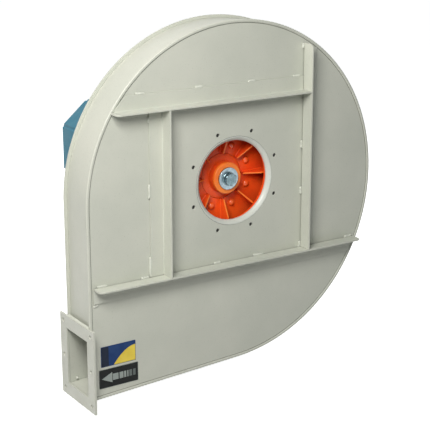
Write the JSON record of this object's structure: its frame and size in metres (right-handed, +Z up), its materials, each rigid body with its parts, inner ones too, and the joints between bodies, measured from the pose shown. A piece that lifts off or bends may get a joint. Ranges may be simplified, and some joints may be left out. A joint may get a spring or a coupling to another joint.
{
  "type": "centrifugal fan",
  "caption": "Narrow centrifugal fan: flat spiral sheet-steel casing, open round inlet with radial-blade impeller, flanged side outlet low on the left, motor on a pedestal behind.",
  "frame": {"origin": "middle of the bounding box's floor plan, on the floor under the pedestal's rails", "axes": "+Z up, -Y the way the inlet faces along the shaft, -X the way the outlet faces"},
  "size_m": [0.8662, 0.618, 0.9337],
  "materials": {
    "casing_paint": "satin",
    "pedestal_paint": "satin",
    "impeller_paint": "satin",
    "motor_paint": "satin",
    "zinc_plate": "glossy",
    "bright_steel": "machined",
    "core_steel": "matte",
    "black_plastic": "matte",
    "black_label": "satin",
    "blue_label": "satin"
  },
  "bodies": {
    "casing": {"airflow_label": "black_label", "base_rail_left": "pedestal_paint", "base_rail_right": "pedestal_paint", "bottom_angle": "casing_paint", "cable_gland": "black_plastic", "casing_bolt_1": "zinc_plate", "casing_bolt_2": "zinc_plate", "casing_bolt_3": "zinc_plate", "casing_bolt_4": "zinc_plate", "drive_end_bearing": "bright_steel", "drive_end_shield": "motor_paint", "fan_cowl": "motor_paint", "foot_bolt_1": "zinc_plate", "foot_bolt_2": "zinc_plate", "foot_bolt_3": "zinc_plate", "foot_bolt_4": "zinc_plate", "front_side_plate": "casing_paint", "inlet_cone": "casing_paint", "left_angle": "casing_paint", "lifting_eye": "zinc_plate", "motor_frame": "motor_paint", "outlet_flange": "casing_paint", "pedestal_front_plate": "pedestal_paint", "pedestal_left_side": "pedestal_paint", "pedestal_rear_plate": "pedestal_paint", "pedestal_right_side": "pedestal_paint", "pedestal_top_plate": "pedestal_paint", "plain_label": "blue_label", "rear_angle_left": "casing_paint", "rear_angle_right": "casing_paint", "rear_end_bearing": "bright_steel", "rear_end_shield": "motor_paint", "rear_side_plate": "casing_paint", "right_angle": "casing_paint", "scroll_wrapper": "casing_paint", "shaft_seal_plate": "casing_paint", "stator_core": "core_steel", "terminal_box": "motor_paint", "terminal_box_lid": "motor_paint", "tongue_plate": "casing_paint", "top_angle": "casing_paint"},
    "rotor": {"rotor_shaft": "bright_steel", "shaft_key": "bright_steel", "rotor_core": "core_steel", "cooling_fan": "black_plastic", "impeller_hub": "impeller_paint", "back_disc": "impeller_paint", "front_shroud": "impeller_paint", "blade_1": "impeller_paint", "blade_2": "impeller_paint", "blade_3": "impeller_paint", "blade_4": "impeller_paint", "blade_5": "impeller_paint", "blade_6": "impeller_paint", "blade_7": "impeller_paint", "blade_8": "impeller_paint", "hub_washer": "zinc_plate", "hub_bolt": "zinc_plate"}
  },
  "joints": [
    {"name": "rotor_spin", "type": "hinge", "parent": "casing", "child": "rotor", "pos_m": [-0.00585, -0.069, 0.52918], "axis": [0, 1, 0], "continuous": true}
  ]
}
